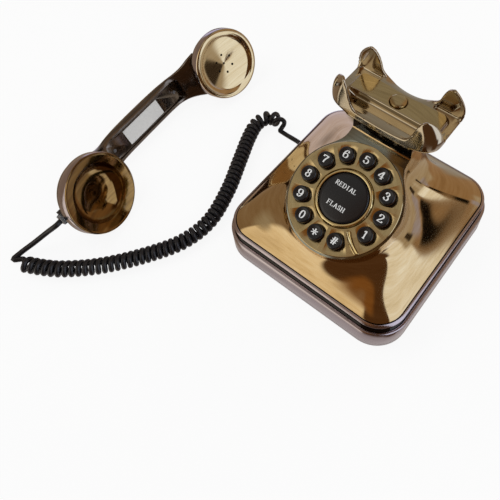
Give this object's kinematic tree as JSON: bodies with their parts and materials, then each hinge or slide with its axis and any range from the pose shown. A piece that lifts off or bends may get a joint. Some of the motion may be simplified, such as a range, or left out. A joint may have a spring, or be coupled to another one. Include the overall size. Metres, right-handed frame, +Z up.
{
  "type": "telephone",
  "caption": "Square-based desk telephone in a vintage dial look with push buttons, a horned cradle, and a handset lying beside it on a curly cord.",
  "frame": {"origin": "on the table, under the middle of the base and the handset together, without the cord", "axes": "+X to the right as the user faces the keypad, +Y to the back, +Z up"},
  "size_m": [0.306, 0.2815, 0.1472],
  "materials": {
    "bronze": "antique bronze plating, mirror-like with brown reflections",
    "mauve_bronze": "antique bronze plating, grey-mauve sheen",
    "satin_brass": "satin antique brass face",
    "satin_brass_plastic": "satin antique brass plating",
    "bright_brass": "bright antique brass plating",
    "gunmetal": "dark gunmetal bronze plating",
    "key_black": "glossy black with white marks",
    "black_plastic": "matt black",
    "rubber": "matt black rubber",
    "silicone": "grey silicone",
    "cord": "black flexible cord jacket",
    "clear_plug": "clear plug",
    "board": "green circuit board",
    "steel": "plain steel",
    "aluminium": "plain metal can",
    "white_label": "plain white card"
  },
  "bodies": {
    "base": {"dial_plate": "satin_brass", "centre_ring": "bright_brass", "finger_stop": "bright_brass", "key_mat": "silicone", "keypad_board": "board", "board_screw_1": "steel", "board_screw_2": "steel", "board_screw_3": "steel", "upper_shell": "bronze", "lower_case": "mauve_bronze", "foot_1": "rubber", "foot_2": "rubber", "foot_3": "rubber", "foot_4": "rubber", "case_screw_1": "steel", "case_screw_2": "steel", "case_screw_3": "steel", "case_screw_4": "steel", "cradle": "bronze", "cradle_screw_1": "steel", "cradle_screw_2": "steel", "hook_switch": "black_plastic", "ballast_plate": "steel", "main_board": "board", "ringer": "black_plastic", "body_jack": "black_plastic", "line_jack": "black_plastic", "body_plug": "clear_plug", "curly_cord": "cord", "handset_lead": "cord", "body_lead": "cord"},
    "key_1": {"key_1": "key_black"},
    "key_2": {"key_2": "key_black"},
    "key_3": {"key_3": "key_black"},
    "key_4": {"key_4": "key_black"},
    "key_5": {"key_5": "key_black"},
    "key_6": {"key_6": "key_black"},
    "key_7": {"key_7": "key_black"},
    "key_8": {"key_8": "key_black"},
    "key_9": {"key_9": "key_black"},
    "key_0": {"key_0": "key_black"},
    "key_star": {"key_star": "key_black"},
    "key_hash": {"key_hash": "key_black"},
    "rocker": {"redial_flash_rocker": "key_black"},
    "hook": {"hook_plunger": "satin_brass_plastic"},
    "ringer_slide": {"ringer_switch": "black_plastic"},
    "handset": {"handset_shell": "gunmetal", "mouth_cap": "bright_brass", "ear_cap": "bright_brass", "inner_cover": "gunmetal", "handset_label": "white_label", "handset_weight": "steel", "microphone": "aluminium", "receiver": "aluminium", "handset_jack": "black_plastic", "cover_screw_1": "steel", "cover_screw_2": "steel", "handset_plug": "clear_plug"}
  },
  "joints": [
    {"name": "key_1_press", "type": "slide", "parent": "base", "child": "key_1", "axis": [0, 0.4147, -0.91], "range_m": [0, 0.0025], "stiffness_N_per_m": 400, "springref_m": -0.0003},
    {"name": "key_2_press", "type": "slide", "parent": "base", "child": "key_2", "axis": [0, 0.4147, -0.91], "range_m": [0, 0.0025], "stiffness_N_per_m": 400, "springref_m": -0.0003},
    {"name": "key_3_press", "type": "slide", "parent": "base", "child": "key_3", "axis": [0, 0.4147, -0.91], "range_m": [0, 0.0025], "stiffness_N_per_m": 400, "springref_m": -0.0003},
    {"name": "key_4_press", "type": "slide", "parent": "base", "child": "key_4", "axis": [0, 0.4147, -0.91], "range_m": [0, 0.0025], "stiffness_N_per_m": 400, "springref_m": -0.0003},
    {"name": "key_5_press", "type": "slide", "parent": "base", "child": "key_5", "axis": [0, 0.4147, -0.91], "range_m": [0, 0.0025], "stiffness_N_per_m": 400, "springref_m": -0.0003},
    {"name": "key_6_press", "type": "slide", "parent": "base", "child": "key_6", "axis": [0, 0.4147, -0.91], "range_m": [0, 0.0025], "stiffness_N_per_m": 400, "springref_m": -0.0003},
    {"name": "key_7_press", "type": "slide", "parent": "base", "child": "key_7", "axis": [0, 0.4147, -0.91], "range_m": [0, 0.0025], "stiffness_N_per_m": 400, "springref_m": -0.0003},
    {"name": "key_8_press", "type": "slide", "parent": "base", "child": "key_8", "axis": [0, 0.4147, -0.91], "range_m": [0, 0.0025], "stiffness_N_per_m": 400, "springref_m": -0.0003},
    {"name": "key_9_press", "type": "slide", "parent": "base", "child": "key_9", "axis": [0, 0.4147, -0.91], "range_m": [0, 0.0025], "stiffness_N_per_m": 400, "springref_m": -0.0003},
    {"name": "key_0_press", "type": "slide", "parent": "base", "child": "key_0", "axis": [0, 0.4147, -0.91], "range_m": [0, 0.0025], "stiffness_N_per_m": 400, "springref_m": -0.0003},
    {"name": "key_star_press", "type": "slide", "parent": "base", "child": "key_star", "axis": [0, 0.4147, -0.91], "range_m": [0, 0.0025], "stiffness_N_per_m": 400, "springref_m": -0.0003},
    {"name": "key_hash_press", "type": "slide", "parent": "base", "child": "key_hash", "axis": [0, 0.4147, -0.91], "range_m": [0, 0.0025], "stiffness_N_per_m": 400, "springref_m": -0.0003},
    {"name": "redial_flash_rock", "type": "hinge", "parent": "base", "child": "rocker", "pos_m": [0.07298, 0.00937, 0.07376], "axis": [1, 0, 0], "range_deg": [-2.5, 2.5], "stiffness_Nm_per_rad": 0.15},
    {"name": "hook_press", "type": "slide", "parent": "base", "child": "hook", "axis": [0, 0, -1], "range_m": [0, 0.003], "stiffness_N_per_m": 300, "springref_m": -0.001},
    {"name": "ringer_slide_move", "type": "slide", "parent": "base", "child": "ringer_slide", "axis": [1, 0, 0], "range_m": [-0.003, 0.003]},
    {"name": "handset_lift", "type": "slide", "parent": "base", "child": "handset", "axis": [0, 0, 1], "range_m": [0, 0.1]}
  ]
}
